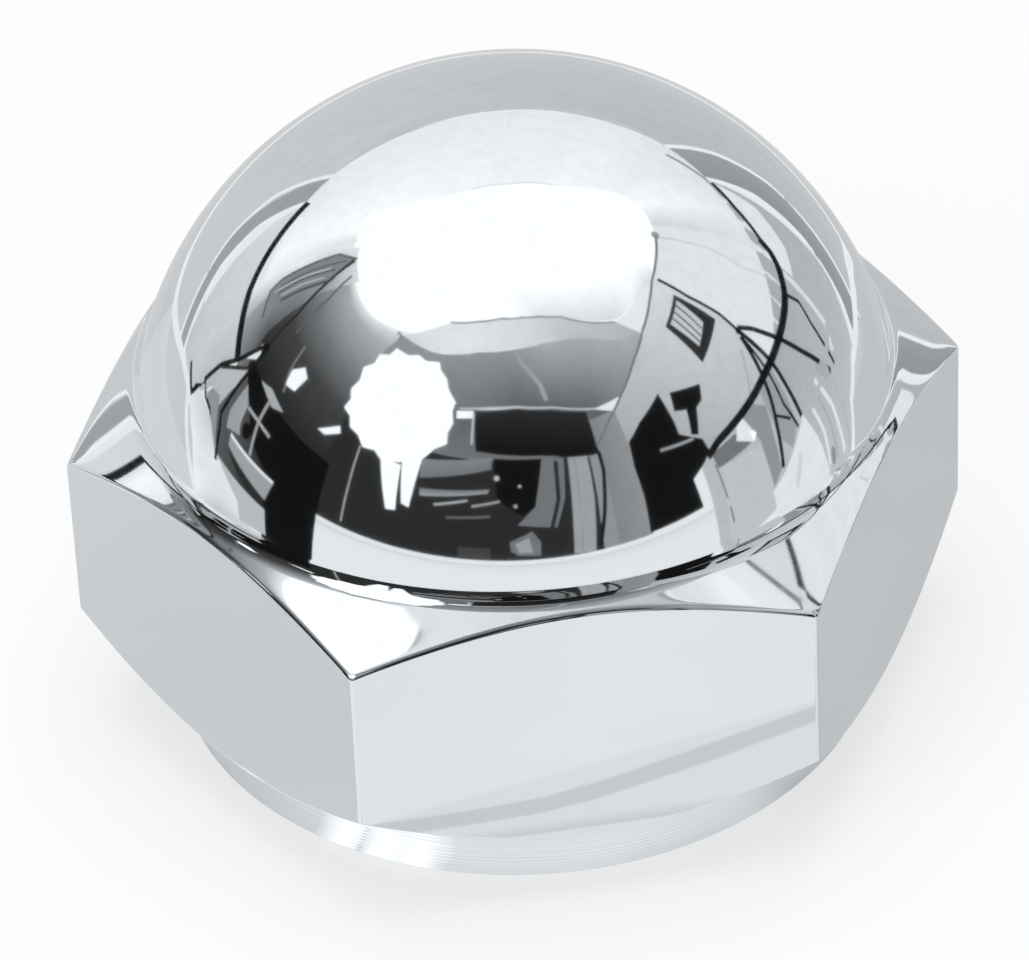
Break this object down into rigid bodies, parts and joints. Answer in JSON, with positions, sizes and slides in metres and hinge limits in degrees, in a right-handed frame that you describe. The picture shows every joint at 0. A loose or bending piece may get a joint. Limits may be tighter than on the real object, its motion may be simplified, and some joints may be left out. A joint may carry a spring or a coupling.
{
  "type": "cap nut",
  "caption": "Low hexagonal cap nut with a domed crown, a round bearing collar underneath and a blind threaded hole, bright chrome plated.",
  "frame": {"origin": "centre of the bearing face, on the thread's axis", "axes": "+Z along the thread's axis towards the crown; two corners of the hexagon lie on the X axis, and two flats face +Y and -Y"},
  "size_m": [0.0346, 0.03, 0.0255],
  "materials": {
    "chrome_plate": "polished"
  },
  "bodies": {
    "root": {"cap_nut": "chrome_plate"}
  },
  "joints": []
}
